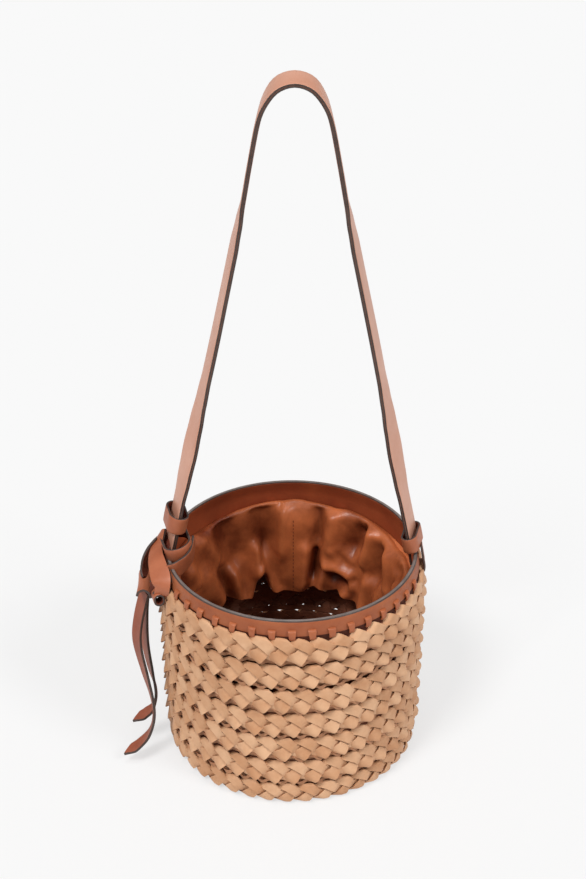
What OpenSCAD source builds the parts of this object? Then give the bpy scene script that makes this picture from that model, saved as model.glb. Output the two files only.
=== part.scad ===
// Bucket bag: a round body of flat plaited leather bands sewn edge to edge, a stiff faced rim,
// a soft leather collar hanging inside, and a flat shoulder strap tied to the rim on one side.
// Millimetres, +Z up, origin on the floor under the middle of the base.
// The strap ends lie on the X axis, with the tie at -X. The front of the bag is at -Y.

/* [Woven body] */
// Outer diameter of the plaited wall under the rim
body_d = 210; // [190:1:240]
// How much smaller the outer diameter is at the lowest band
body_taper = 5; // [0:0.5:6]
// Height of one plaited band
band_h = 23.2; // [20:0.2:28]
// Thickness of a plait, two strips and their bulge
plait_t = 6; // [5:0.5:8]
// Rounding of a plait's folded edges
fold_r = 1.8; // [1:0.1:2.2]
// Width of the lace that joins two plaits
lace_w = 6; // [4:0.5:8]
// Thickness of that lace
lace_t = 1.2; // [0.8:0.1:1.6]

/* [Rim] */
// Height of the rim above the top band
rim_h = 10; // [7:0.5:16]
// How far the rim reaches down behind the top band
rim_tuck = 16; // [12:0.5:16]
// How far the rim leans in at its top edge
rim_lean = 1.6; // [0:0.1:2.4]
// Thickness of each leather facing of the rim
facing_t = 1.2; // [0.8:0.1:1.8]
// Thickness of the stiffener between the facings
core_t = 1; // [0.6:0.1:1.6]
// Number of places for a lacing stitch round the rim
stitch_places = 42; // [30:1:50]
// Width of one lacing stitch along the rim
stitch_w = 4.5; // [3:0.5:6]
// Height of one lacing stitch
stitch_h = 5; // [3:0.5:6]
// Thickness of one lacing stitch
stitch_t = 1.2; // [0.8:0.1:1.6]

/* [Liner] */
// Height of the hanging collar from its rolled top to its hem
liner_h = 84; // [60:1:95]
// Depth of the rolled top below the rim's edge
liner_drop = 13; // [12:0.5:18]
// Width of the rolled top from the rim to the hanging side
liner_roll = 9; // [6:0.5:12]
// How far the hem hangs in from the rolled top
liner_inset = 5; // [0:0.5:8]
// Depth of the folds at the hem, to each side of the middle
fold_depth = 4; // [1:0.5:5]
// Number of main folds round the collar
fold_count = 9; // [6:1:12]
// Thickness of the liner leather
liner_t = 1.6; // [1:0.1:2]

/* [Strap] */
// Width of the strap
strap_w = 22; // [16:0.5:24]
// Thickness of each of the strap's two layers
strap_layer = 1.7; // [1.2:0.1:2.2]
// Height of the strap's top above the rim
strap_drop = 374; // [300:1:450]
// Radius of the bend at the strap's top
crown_r = 21; // [15:0.5:30]
// How far the strap's ends stand in from the middle of the rim
strap_inset = 1.3; // [0:0.1:3]
// Height of the strap's pivot above the rim
pivot_h = 46; // [45:0.5:60]
// How far the strap's back edge turns outward at the pivot, in degrees
strap_twist = 24; // [0:1:26]
// How far the strap's back edge turns outward at the top, in degrees
crown_twist = 13; // [0:1:20]
// Room round the strap inside its keeper and loop
keeper_room = 0.4; // [0.3:0.1:0.6]
// Thickness of the keeper's and the loop's leather
keeper_t = 1.6; // [1.2:0.1:2]
// Outer width of the keeper and the loop across the rim
keeper_w = 19.2; // [18:0.2:22]
// Height of the keeper and the loop
keeper_h = 14; // [10:0.5:14]
// Distance of the keeper's lower edge from the rim along the strap
keeper_lift = 20; // [19:0.5:21]
// How far the right loop's tabs reach down over the rim
loop_tab = 9; // [4:0.5:9]

/* [Tie] */
// Width of the tie thong
tie_w = 11; // [9:0.5:12]
// Thickness of the tie thong
tie_t = 2; // [1.4:0.1:2.4]
// Height of the knot's ring round the strap
knot_ring_h = 9.5; // [8:0.5:10]
// Height of the knot's ring above the rim
knot_lift = 3; // [2.5:0.1:3.4]
// Tilt of the knot's ring, its inner side up, in degrees
knot_tilt = 6; // [0:1:8]
// Depth of the tails' upper ends below the rim's edge
tail_depth = 28; // [24:1:40]
// Distance of the tails' upper ends from the wall
tail_off = 8.5; // [7:0.5:12]
// Radius of the turn of thong that the tails hang from
hitch_r = 3; // [2:0.1:4]
// Length of the cut points at the ends of the tails
tail_point = 9; // [4:0.5:14]

/* [Hidden] */
$fn = 96;
bands = 7;
base_rings = 3;
seat_gap = 0.2;
layer_gap = 0.05;
swing_gap = 0.6;

// Heights and radii of the body and the rim
wall_h = bands * band_h;
rim_top = wall_h + rim_h;
rim_foot = wall_h - rim_tuck;
taper_step = body_taper / 2 / (bands - 1);
function band_r(i) = body_d / 2 - taper_step * (i - 1);
floor_r = band_r(bands) - plait_t - seat_gap;
base_step = band_h + layer_gap;
face_r = body_d / 2 - plait_t - seat_gap;
core_off = facing_t + layer_gap;
inner_off = core_off + core_t + layer_gap;
rim_t = inner_off + facing_t;
lining_r = face_r - rim_t - seat_gap;

// Path of the strap: straight legs from the rim, tangent to the bend at the top
anchor_x = face_r - rim_lean - rim_t / 2 - strap_inset;
crown_z = rim_top + strap_drop - crown_r;
reach = norm([anchor_x, crown_z - rim_top]);
lean = atan2(anchor_x, crown_z - rim_top) - asin(crown_r / reach);
leg_len = sqrt(reach * reach - crown_r * crown_r);
leg_dir = [-sin(lean), 0, cos(lean)];
leg_out = [cos(lean), 0, sin(lean)];
pivot_s = pivot_h / cos(lean);
strap_t = 2 * strap_layer + layer_gap;
twist_end = 0.85;

// Corner of the tie on the rim, from which its routes are measured
tie_at = [-(face_r - rim_lean - rim_t / 2), 0, rim_top];
tail_root_z = rim_top - tail_depth;
hitch_gap = 0.7;

// Routes of the tie thong: place from the tie's corner, then the direction of its width
cross_route = [
    [-6, 7, 15, 0.75, 0.1, 0.65], [-9, -2, 10.5, 0.8, 0, 0.6], [-9, -13, 4, 0.85, -0.1, 0.5],
    [-7, -25, -1, 0.9, -0.2, 0.4], [-6.5, -36, -5, 0.95, 0, 0.3], [-8, -43, -10, 1, 0.2, 0.1],
    [-11, -45, -14.5, 1, 0.2, 0], [-14, -41, -16, 1, 0.2, 0.1]
];
saddle_route = [
    [-6.5, -17, -5.5, 0, 1, 0], [-4.6, -17.5, 0, 0, 1, 0], [0.4, -18, 4, 0, 1, 0],
    [6.2, -17.5, 0.5, 0, 1, 0], [7.5, -17, -6, 0, 1, 0]
];
side_route = [
    [-8, 4, 8, 0.3, 0.4, 0.85], [-14.5, 3, 0, 0.3, 0.4, 0.85], [-18.5, -1, -10, 0.2, 0.5, 0.8],
    [-18.5, -10, -18, 0.2, 0.6, 0.7], [-15.5, -18, -23, 0.3, 0.7, 0.5]
];

// Routes of the tails: out from their upper ends, forward, and share of the upper ends' height
front_route = [
    [0, -20, 1, 0.6, -0.8, 0], [6, -22, 0.82, 0.6, -0.8, 0], [7.5, -25, 0.68, 0.6, -0.8, 0],
    [2.5, -29, 0.5, 0.5, -0.87, 0], [-2.5, -34, 0.36, 0.3, -0.95, 0], [-4, -38, 0.25, 0.1, -1, 0],
    [-0.5, -42, 0.16, -0.1, -1, -0.1], [8.5, -47, 0.1, -0.2, -1, -0.2], [20, -52, 0.06, -0.3, -1, -0.2]
];
rear_route = [
    [0, -8, 1, 0.4, -0.9, 0], [2.5, -8.5, 0.82, 0.4, -0.9, 0], [3, -10, 0.62, 0.4, -0.9, 0],
    [-0.5, -12, 0.43, 0.3, -0.95, 0], [-4, -15, 0.3, 0.1, -1, 0], [-2.5, -19, 0.22, -0.1, -1, -0.1],
    [4.5, -23, 0.18, -0.2, -1, -0.2], [14.5, -27, 0.15, -0.3, -1, -0.2]
];

// Shared shapes

// Section of a plait: a bar with rounded corners, its low inner corner at the origin
module plait_section(wide, high) {
    translate([fold_r, 0]) square([wide - 2 * fold_r, high]);
    translate([0, fold_r]) square([wide, high - 2 * fold_r]);
    for (x = [fold_r, wide - fold_r], y = [fold_r, high - fold_r])
        translate([x, y]) circle(fold_r);
}

// Flat ring of leather between two radii
module flat_ring(inner, outer, low, high) {
    rotate_extrude()
        translate([inner, low]) square([outer - inner, high - low]);
}

// One layer of the rim, between two depths behind its outer face
module rim_layer(front, back) {
    rotate_extrude()
        polygon([
            [face_r - back, rim_foot], [face_r - front, rim_foot], [face_r - front, wall_h],
            [face_r - front - rim_lean, rim_top], [face_r - back - rim_lean, rim_top],
            [face_r - back, wall_h]
        ]);
}

// Long-holed band of leather standing on edge, its long way along Y
module leather_ring(wide, long, thick, high) {
    linear_extrude(high)
        difference() {
            oblong(wide, long);
            oblong(wide - 2 * thick, long - 2 * thick);
        }
}

module oblong(wide, long) {
    straight = long - wide;
    square([wide, straight], center = true);
    for (side = [-1, 1])
        translate([0, side * straight / 2]) circle(wide / 2);
}

// Smooth curve through the points of a route, with this many steps between two points
function between(a, b, c, d, u) =
    ((2 * b) + (c - a) * u + (2 * a - 5 * b + 4 * c - d) * u * u
        + (3 * b - a - 3 * c + d) * u * u * u) / 2;
function along(route, steps) = let (last = len(route) - 1) [
    for (i = [0 : last - 1], k = [0 : steps - 1])
        between(route[max(i - 1, 0)], route[i], route[i + 1], route[min(i + 2, last)], k / steps),
    route[last]
];
function unit(v) = v / norm(v);
function place(row) = [row[0], row[1], row[2]];
function breadth(row) = [row[3], row[4], row[5]];

// Tube of four-cornered rings, closed at both ends
module swept(rings) {
    last = len(rings) - 1;
    sides = [
        for (i = [0 : last - 1], k = [0 : 3]) let (a = i * 4 + k, b = i * 4 + (k + 1) % 4)
            each k == 2
                ? [[a, b, a + 4], [b, b + 4, a + 4]]
                : [[a, b, b + 4], [a, b + 4, a + 4]]
    ];
    top = last * 4;
    ends = [[0, 2, 1], [0, 3, 2], [top, top + 1, top + 2], [top, top + 2, top + 3]];
    polyhedron([for (ring = rings) each ring], concat(sides, ends), convexity = 8);
}

// Corners of a strip's section at one place
function strip_ring(at, across, up, wide, thick) = [
    at - across * wide / 2 - up * thick / 2,
    at + across * wide / 2 - up * thick / 2,
    at + across * wide / 2 + up * thick / 2,
    at - across * wide / 2 + up * thick / 2
];

// Strip of leather along a route, its far end cut to a point over this length
module thong(route, wide, thick, point) {
    rows = along(route, 3);
    last = len(rows) - 1;
    swept([
        for (i = [0 : last]) let (
            way = unit(place(rows[min(i + 1, last)]) - place(rows[max(i - 1, 0)])),
            flat = breadth(rows[i]),
            across = unit(flat - (flat * way) * way),
            left = norm(place(rows[last]) - place(rows[i])),
            share = point > 0 ? min(1, 0.12 + left / point) : 1
        ) strip_ring(place(rows[i]), across, cross(across, way), wide * share, thick)
    ]);
}

// Body

module plait_band(i) {
    color("tan")
        rotate_extrude()
            translate([band_r(i) - plait_t, wall_h - i * band_h]) plait_section(plait_t, band_h);
}

module seam_lace(i) {
    outer = band_r(i + 1) - plait_t - seat_gap;
    seam = wall_h - i * band_h;
    color("peru") flat_ring(outer - lace_t, outer, seam - lace_w / 2, seam + lace_w / 2);
}

module base_ring(i) {
    color("tan")
        rotate_extrude()
            translate([floor_r - i * base_step + layer_gap, 0]) plait_section(band_h, plait_t);
}

module base_centre() {
    color("tan") cylinder(h = plait_t, r = floor_r - base_rings * base_step);
}

module base_lace(i) {
    seam = floor_r - i * base_step;
    low = plait_t + seat_gap;
    color("peru") flat_ring(seam - lace_w / 2, seam + lace_w / 2, low, low + lace_t);
}

module base_edge_lace() {
    low = plait_t + seat_gap;
    color("peru") flat_ring(floor_r - lace_t, floor_r, low, low + lace_w);
}

// Rim

module rim_outer_facing() {
    color("sienna") rim_layer(0, facing_t);
}

module rim_core() {
    color("dimgray") rim_layer(core_off, core_off + core_t);
}

module rim_inner_facing() {
    color("saddlebrown") rim_layer(inner_off, rim_t);
}

// Stitches in every place but those under the strap loop and the tie
module rim_lacing() {
    step = 360 / stitch_places;
    wide = 2 * asin(stitch_w / 2 / face_r);
    clear = asin((strap_w + 2 * tie_w) / 2 / face_r);
    slope = rim_lean / rim_h;
    low = wall_h + seat_gap;
    near = face_r + seat_gap - slope * seat_gap;
    far = near + stitch_t;
    color("chocolate")
        for (i = [0 : stitch_places - 1]) let (turn = (i + 0.5) * step)
            if (abs(sin(turn)) > sin(clear))
                rotate([0, 0, turn - wide / 2])
                    rotate_extrude(angle = wide)
                        polygon([
                            [near, low], [far, low],
                            [far - slope * stitch_h, low + stitch_h],
                            [near - slope * stitch_h, low + stitch_h]
                        ]);
}

// Liner

// Depth of the folds round the collar, from -1 to 1
function fold(turn) = cos(fold_count * turn + 35 * sin(2 * turn));

// Section of the liner at one angle: up the sewn flap, over the roll and down to the hem
// on one face, then back on the other
function liner_section(turn) =
    let (
        top = rim_top - liner_drop,
        hem = top - liner_h + fold_depth * fold(turn + 12),
        hang = [for (share = [0.15, 0.45, 0.75, 1]) [
            lining_r - liner_roll - liner_inset * share + fold_depth * share * fold(turn),
            top + (hem - top) * share
        ]],
        sewn = lining_r - liner_t,
        roll_a = lining_r - liner_roll * 0.3,
        roll_b = lining_r - liner_roll * 0.7,
        low = top - liner_roll * 1.6,
        high = top - liner_roll * 0.4
    ) concat(
        [[lining_r, low], [lining_r, high], [roll_a, top], [roll_b, top]],
        [for (at = hang) at - [liner_t / 2, 0]],
        [for (k = [len(hang) - 1 : -1 : 0]) hang[k] + [liner_t / 2, 0]],
        [[roll_b, top - liner_t], [roll_a, top - liner_t], [sewn, high - liner_t], [sewn, low]]
    );

module liner_collar() {
    turns = 72;
    sections = [for (i = [0 : turns - 1]) liner_section(i * 360 / turns)];
    count = len(sections[0]);
    points = [
        for (i = [0 : turns - 1], at = sections[i]) let (turn = i * 360 / turns)
            [at[0] * cos(turn), at[0] * sin(turn), at[1]]
    ];
    faces = [
        for (i = [0 : turns - 1], k = [0 : count - 1]) let (
            j = (i + 1) % turns,
            m = (k + 1) % count
        ) each [
            [i * count + k, j * count + m, j * count + k],
            [i * count + k, i * count + m, j * count + m]
        ]
    ];
    color("saddlebrown") polyhedron(points, faces, convexity = 8);
}

// Strap

// Rows of the right half from the rounded end below the pivot to the top:
// place, outward direction, turn of the back edge, half width
function strap_half() =
    let (
        pivot = [anchor_x, 0, rim_top] + leg_dir * pivot_s,
        straight = leg_len - pivot_s,
        half = strap_w / 2,
        ends = [for (a = [78, 60, 40, 20]) [
            pivot - leg_dir * half * sin(a), leg_out, strap_twist, half * cos(a)
        ]],
        legs = [for (i = [0 : 8]) let (share = i / 8) [
            pivot + leg_dir * straight * share, leg_out,
            strap_twist * max(0, 1 - share / twist_end), half
        ]],
        crown = [for (i = [1 : 8]) let (a = lean + (90 - lean) * i / 8) [
            [crown_r * cos(a), 0, crown_z + crown_r * sin(a)], [cos(a), 0, sin(a)],
            crown_twist * i / 8, half
        ]]
    ) concat(ends, legs, crown);

// Ring of one layer at one row of the strap, at this distance out from its middle
function strap_ring(row, off) =
    let (
        across = [row[1][0] * sin(row[2]), cos(row[2]), row[1][2] * sin(row[2])],
        up = [row[1][0] * cos(row[2]), -sin(row[2]), row[1][2] * cos(row[2])]
    ) strip_ring(row[0] + up * off, across, up, 2 * row[3], strap_layer);

function mirrored(row) = [
    [-row[0][0], row[0][1], row[0][2]], [-row[1][0], row[1][1], row[1][2]], row[2], row[3]
];

module strap_strip(off) {
    half = strap_half();
    last = len(half) - 1;
    rows = concat(half, [for (i = [last - 1 : -1 : 0]) mirrored(half[i])]);
    swept([for (row = rows) strap_ring(row, off)]);
}

module strap_face() {
    color("burlywood") strap_strip((strap_layer + layer_gap) / 2);
}

module strap_lining() {
    color("sienna") strap_strip(-(strap_layer + layer_gap) / 2);
}

// Places its children on the right end of the strap, turned as the strap is, +Z along it
module on_strap(up) {
    translate([anchor_x, 0, rim_top])
        rotate([0, -lean, 0])
            rotate([0, 0, -strap_twist])
                translate([0, 0, up]) children();
}

// Fixed end of the strap from just above the rim to just below the pivot
module strap_end() {
    low = 2 * seat_gap + strap_w / 2 * tan(lean);
    high = pivot_s - strap_w / 2 - swing_gap;
    on_strap(low)
        translate([-strap_t / 2, -strap_w / 2, 0]) cube([strap_t, strap_w, high - low]);
}

module strap_end_right() {
    color("burlywood") strap_end();
}

module strap_end_left() {
    color("burlywood") mirror([1, 0, 0]) strap_end();
}

// Inner length of a band round the strap, whose corners stand in the band's round ends
function ring_long(round) =
    strap_w + 2 * keeper_room + 2 * (round - sqrt(round ^ 2 - (strap_t / 2 + keeper_room) ^ 2));
keeper_long = ring_long(keeper_w / 2 - keeper_t) + 2 * keeper_t;

module strap_keeper() {
    color("chocolate")
        mirror([1, 0, 0])
            on_strap(keeper_lift) leather_ring(keeper_w, keeper_long, keeper_t, keeper_h);
}

// Band round the strap's right end, standing on the rim, with a tab down each side of the rim
module strap_loop() {
    low = 2 * seat_gap + rim_t * tan(lean);
    color("chocolate")
        on_strap(low) {
            leather_ring(keeper_w, keeper_long, keeper_t, keeper_h);
            for (side = [-1, 1])
                translate([side * (keeper_w - keeper_t) / 2, 0, (keeper_t - loop_tab) / 2])
                    cube([keeper_t, tie_w, loop_tab + keeper_t], center = true);
        }
}

// Tie

module tie_knot() {
    ring_mid = knot_lift + knot_ring_h / 2;
    ring_x = anchor_x - ring_mid * tan(lean);
    ring_l = keeper_long + 2 * (tie_t - keeper_t) + knot_ring_h * sin(lean + knot_tilt);
    hitch_len = 2 * tie_w + hitch_r / 2;
    hitch_z = tail_root_z + hitch_gap + hitch_r;
    color("chocolate") {
        translate([-ring_x, 0, rim_top + ring_mid])
            rotate([0, -knot_tilt, 0])
                rotate([0, 0, strap_twist])
                    translate([0, 0, -knot_ring_h / 2])
                        leather_ring(keeper_w + tie_t, ring_l, tie_t, knot_ring_h);
        translate(tie_at) {
            thong(cross_route, tie_w, tie_t, 0);
            thong(saddle_route, tie_w, tie_t, 0);
            thong(side_route, tie_w, tie_t, 0);
        }
        translate([-body_d / 2 - tail_off, front_route[0][1] - tie_w / 2, hitch_z])
            rotate([-90, 0, 0]) cylinder(h = hitch_len, r = hitch_r);
    }
}

function tail_route(route) = [
    for (row = route)
        [-body_d / 2 - tail_off - row[0], row[1], tail_root_z * row[2], row[3], row[4], row[5]]
];

module tie_tail_front() {
    color("sienna") thong(tail_route(front_route), tie_w, tie_t, tail_point);
}

module tie_tail_rear() {
    color("peru") thong(tail_route(rear_route), tie_w, tie_t, tail_point);
}

for (i = [1 : bands])
    plait_band(i);
for (i = [1 : bands - 1])
    seam_lace(i);
for (i = [1 : base_rings])
    base_ring(i);
base_centre();
for (i = [1 : base_rings])
    base_lace(i);
base_edge_lace();
rim_outer_facing();
rim_core();
rim_inner_facing();
rim_lacing();
liner_collar();
strap_face();
strap_lining();
strap_end_left();
strap_end_right();
strap_keeper();
strap_loop();
tie_knot();
tie_tail_front();
tie_tail_rear();
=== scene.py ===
import bisect
import math
import random

import bpy
from mathutils import Matrix, Vector, noise


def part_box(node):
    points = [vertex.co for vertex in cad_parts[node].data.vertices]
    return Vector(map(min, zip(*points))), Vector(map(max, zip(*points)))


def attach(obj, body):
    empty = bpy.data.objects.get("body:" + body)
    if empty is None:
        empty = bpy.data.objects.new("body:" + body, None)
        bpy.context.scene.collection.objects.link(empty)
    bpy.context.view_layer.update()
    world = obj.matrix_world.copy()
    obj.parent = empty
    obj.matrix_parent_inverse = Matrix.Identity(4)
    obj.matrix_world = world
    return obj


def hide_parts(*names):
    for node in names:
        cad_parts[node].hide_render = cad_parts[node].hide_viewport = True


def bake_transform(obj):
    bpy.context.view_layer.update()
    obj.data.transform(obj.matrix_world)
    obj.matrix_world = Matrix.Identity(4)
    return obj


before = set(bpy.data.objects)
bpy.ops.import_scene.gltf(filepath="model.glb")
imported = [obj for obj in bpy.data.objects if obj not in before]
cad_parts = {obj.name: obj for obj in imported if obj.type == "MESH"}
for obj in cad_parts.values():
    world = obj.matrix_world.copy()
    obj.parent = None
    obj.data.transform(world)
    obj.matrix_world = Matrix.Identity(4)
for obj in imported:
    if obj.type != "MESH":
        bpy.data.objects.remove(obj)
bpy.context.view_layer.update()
mm = 0.001
print("frame loaded:", len(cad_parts), "nodes")

# small helpers


def deselectAll():
    bpy.ops.object.select_all(action="DESELECT")


def pick(*pieces):
    deselectAll()
    for piece in pieces:
        piece.select_set(True)
    bpy.context.view_layer.objects.active = pieces[0]


def applyModifiers(piece):
    pick(piece)
    for modifier in list(piece.modifiers):
        bpy.ops.object.modifier_apply(modifier=modifier.name)


def activeAs(name):  # the object made last, under this name
    piece = bpy.context.object
    piece.name = piece.data.name = name
    return piece


def dress(piece, *finishes):
    for finish in finishes:
        piece.data.materials.append(finish)


def paintFaces(piece, slot, test):  # gives the faces that pass the test this material
    for face in piece.data.polygons:
        if test(face):
            face.material_index = slot


def newGrid(name, along, across):  # flat grid from 0,0 to 1,1
    deselectAll()
    bpy.ops.mesh.primitive_grid_add(x_subdivisions=along, y_subdivisions=across, size=1,
                                    location=(0.5, 0.5, 0))
    bpy.ops.object.transform_apply(location=True, rotation=False, scale=False)
    return activeAs(name)


def copyOf(piece, name):  # copy with its own mesh
    twin = piece.copy()
    twin.data = piece.data.copy()
    twin.name = twin.data.name = name
    bpy.context.scene.collection.objects.link(twin)
    return twin


def editAll(piece, operator, **settings):  # runs an edit mode operator on the whole mesh
    pick(piece)
    bpy.ops.object.mode_set(mode="EDIT")
    bpy.ops.mesh.select_all(action="SELECT")
    operator(**settings)
    bpy.ops.object.mode_set(mode="OBJECT")


def mergeEnds(piece):  # joins a grid's ends where they meet
    editAll(piece, bpy.ops.mesh.remove_doubles, threshold=0.00002)


def outwardFaces(piece):
    editAll(piece, bpy.ops.mesh.normals_make_consistent, inside=False)


def thicken(piece, thick, rounding=0, segments=2, edgeSlot=1, backSlot=0, even=True):  # in mm
    solid = piece.modifiers.new("thickness", "SOLIDIFY")
    solid.thickness = thick * mm
    solid.offset = 0  # to both sides
    solid.use_even_offset = even
    solid.thickness_clamp = 0
    solid.material_offset_rim = edgeSlot
    solid.material_offset = backSlot
    if rounding:
        bevel = piece.modifiers.new("edges", "BEVEL")
        bevel.width = rounding * mm
        bevel.segments = segments
        bevel.limit_method = "ANGLE"
        bevel.angle_limit = math.radians(55)
    applyModifiers(piece)


def smooth(piece, angle=40):
    pick(piece)
    bpy.ops.object.shade_smooth_by_angle(angle=math.radians(angle))


def joined(pieces, name):
    pick(*pieces)
    if len(pieces) > 1:
        bpy.ops.object.join()
    return activeAs(name)


def settle(piece, body, slot, *nodeNames):  # which body it rides on and what it stands for
    if nodeNames:
        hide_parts(*nodeNames)
    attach(piece, body)
    return piece


def spunRing(name, profile, count, *finishes):  # closed profile of radius and height
    deselectAll()
    radius, height = profile[0]
    bpy.ops.mesh.primitive_circle_add(vertices=count, radius=radius * mm, location=(0, 0, height * mm))
    bpy.ops.object.transform_apply(location=True)
    piece = activeAs(name)
    bpy.ops.object.mode_set(mode="EDIT")
    bpy.ops.mesh.select_mode(type="EDGE")
    bpy.ops.mesh.select_all(action="SELECT")
    for (ra, za), (rb, zb) in zip(profile, profile[1:]):
        bpy.ops.mesh.extrude_edges_move(TRANSFORM_OT_translate={"value": (0, 0, (zb - za) * mm)})
        bpy.ops.transform.resize(value=(rb / ra, rb / ra, 1), center_override=(0, 0, 0))
    bpy.ops.mesh.select_all(action="DESELECT")
    bpy.ops.mesh.select_non_manifold()
    bpy.ops.mesh.bridge_edge_loops()
    bpy.ops.mesh.select_all(action="SELECT")
    bpy.ops.mesh.normals_make_consistent(inside=False)
    bpy.ops.object.mode_set(mode="OBJECT")
    dress(piece, *finishes)
    smooth(piece, 60)
    return piece


def clamp(value, low=0.0, high=1.0):
    return max(low, min(high, value))


def ease(value):
    value = clamp(value)
    return value * value * (3 - 2 * value)


def mix(a, b, share):
    return a + (b - a) * share


def between(a, b, c, d, u):  # smooth curve through b and c
    second, third = a * 2 - b * 5 + c * 4 - d, b * 3 - a - c * 3 + d
    return ((b * 2) + (c - a) * u + second * (u * u) + third * (u * u * u)) * 0.5


def along(points, t):  # point at share t of a route, ends included
    last = len(points) - 1
    place = clamp(t) * last
    i = min(int(place), last - 1)
    return between(points[max(i - 1, 0)], points[i], points[i + 1], points[min(i + 2, last)], place - i)


def turned(angle, middle):  # degrees from the middle, -180 to 180
    return (angle - middle + 180) % 360 - 180


def outward(at, way):  # above zero where a face looks away from the bag's axis
    return at.x * way.x + at.y * way.y


def ringPoint(radius, turn, z):  # round the bag, from the front to the right
    return Vector((radius * math.sin(turn), -radius * math.cos(turn), z)) * mm


# camera, floor and light

view = {"place": (0.8 * mm, -1089 * mm, 911.2 * mm), "tilt": 59.44, "lens": 69.62, "sensor": 36,
        "near": 0.05, "far": 50}
paper = {"size": 14, "level": -0.0006, "grey": 0.87, "seen": 0.888, "share": 0.72, "backdrop": 0.947}


def lookAtBag():
    deselectAll()
    bpy.ops.object.camera_add(location=view["place"], rotation=(math.radians(view["tilt"]), 0, 0))
    camera = bpy.context.object
    camera.data.lens = view["lens"]
    camera.data.sensor_width = view["sensor"]
    camera.data.clip_start, camera.data.clip_end = view["near"], view["far"]
    bpy.context.scene.camera = camera


def paperFloor():
    deselectAll()
    bpy.ops.mesh.primitive_plane_add(size=paper["size"], location=(0, 0, paper["level"]))
    floor = bpy.context.object
    floor.name = "paper_floor"
    bpy.ops.object.transform_apply(location=True)
    material = bpy.data.materials.new("paper")
    material.use_nodes = True
    tree = material.node_tree
    tree.nodes.clear()
    out = tree.nodes.new("ShaderNodeOutputMaterial")
    blendNode = tree.nodes.new("ShaderNodeMixShader")
    matt = tree.nodes.new("ShaderNodeBsdfDiffuse")
    matt.inputs["Color"].default_value = (paper["grey"],) * 3 + (1,)
    white = tree.nodes.new("ShaderNodeEmission")
    white.inputs["Color"].default_value = (paper["seen"],) * 3 + (1,)
    path = tree.nodes.new("ShaderNodeLightPath")
    seen = path.outputs["Is Camera Ray"]
    for ray in ("Is Glossy Ray", "Is Transmission Ray"):
        either = tree.nodes.new("ShaderNodeMath")
        either.operation = "ADD"
        tree.links.new(seen, either.inputs[0])
        tree.links.new(path.outputs[ray], either.inputs[1])
        seen = either.outputs[0]
    share = tree.nodes.new("ShaderNodeMath")
    share.operation = "MULTIPLY"
    share.inputs[1].default_value = paper["share"]
    share.use_clamp = True
    tree.links.new(seen, share.inputs[0])
    tree.links.new(share.outputs[0], blendNode.inputs[0])
    tree.links.new(matt.outputs[0], blendNode.inputs[1])
    tree.links.new(white.outputs[0], blendNode.inputs[2])
    tree.links.new(blendNode.outputs[0], out.inputs["Surface"])
    floor.data.materials.append(material)


studio = {"sky": 0.33, "key": 1.95, "keyTurn": (34, 0, -38), "fill": 1.15, "fillTurn": (48, 0, 56),
          "top": 0.55, "topTurn": (6, 0, 0), "soft": 16}


def studioLight():
    scene = bpy.context.scene
    scene.view_settings.view_transform = "Standard"
    world = bpy.data.worlds.new("studio")
    scene.world = world
    world.use_nodes = True
    tree = world.node_tree
    tree.nodes.clear()
    out = tree.nodes.new("ShaderNodeOutputWorld")
    lit = tree.nodes.new("ShaderNodeBackground")
    lit.inputs["Color"].default_value = (1, 1, 1, 1)
    lit.inputs["Strength"].default_value = studio["sky"]
    seen = tree.nodes.new("ShaderNodeBackground")
    seen.inputs["Color"].default_value = (paper["backdrop"],) * 3 + (1,)
    path = tree.nodes.new("ShaderNodeLightPath")
    both = tree.nodes.new("ShaderNodeMixShader")
    tree.links.new(path.outputs["Is Camera Ray"], both.inputs[0])
    tree.links.new(lit.outputs[0], both.inputs[1])
    tree.links.new(seen.outputs[0], both.inputs[2])
    tree.links.new(both.outputs[0], out.inputs["Surface"])
    for name in ("key", "fill", "top"):
        deselectAll()
        turn = [math.radians(a) for a in studio[name + "Turn"]]
        bpy.ops.object.light_add(type="SUN", location=(0, 0, 2), rotation=turn)
        lamp = bpy.context.object
        lamp.name = name
        lamp.data.energy = studio[name]
        lamp.data.angle = math.radians(studio["soft"])


lookAtBag()
paperFloor()
studioLight()
print("camera, floor and light set")

# leather finishes


def tint(red, green, blue):  # screen colour, 0 to 255, as light
    def lin(c):
        c /= 255
        return c / 12.92 if c <= 0.04045 else ((c + 0.055) / 1.055) ** 2.4
    return (lin(red), lin(green), lin(blue), 1)


hide = {"detail": 5, "clouds": 0.62, "creases": 4, "pores": 0.6, "deep": 0.0004, "gloss": (-0.08, 0.1),
        "shine": 0.4}


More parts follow.
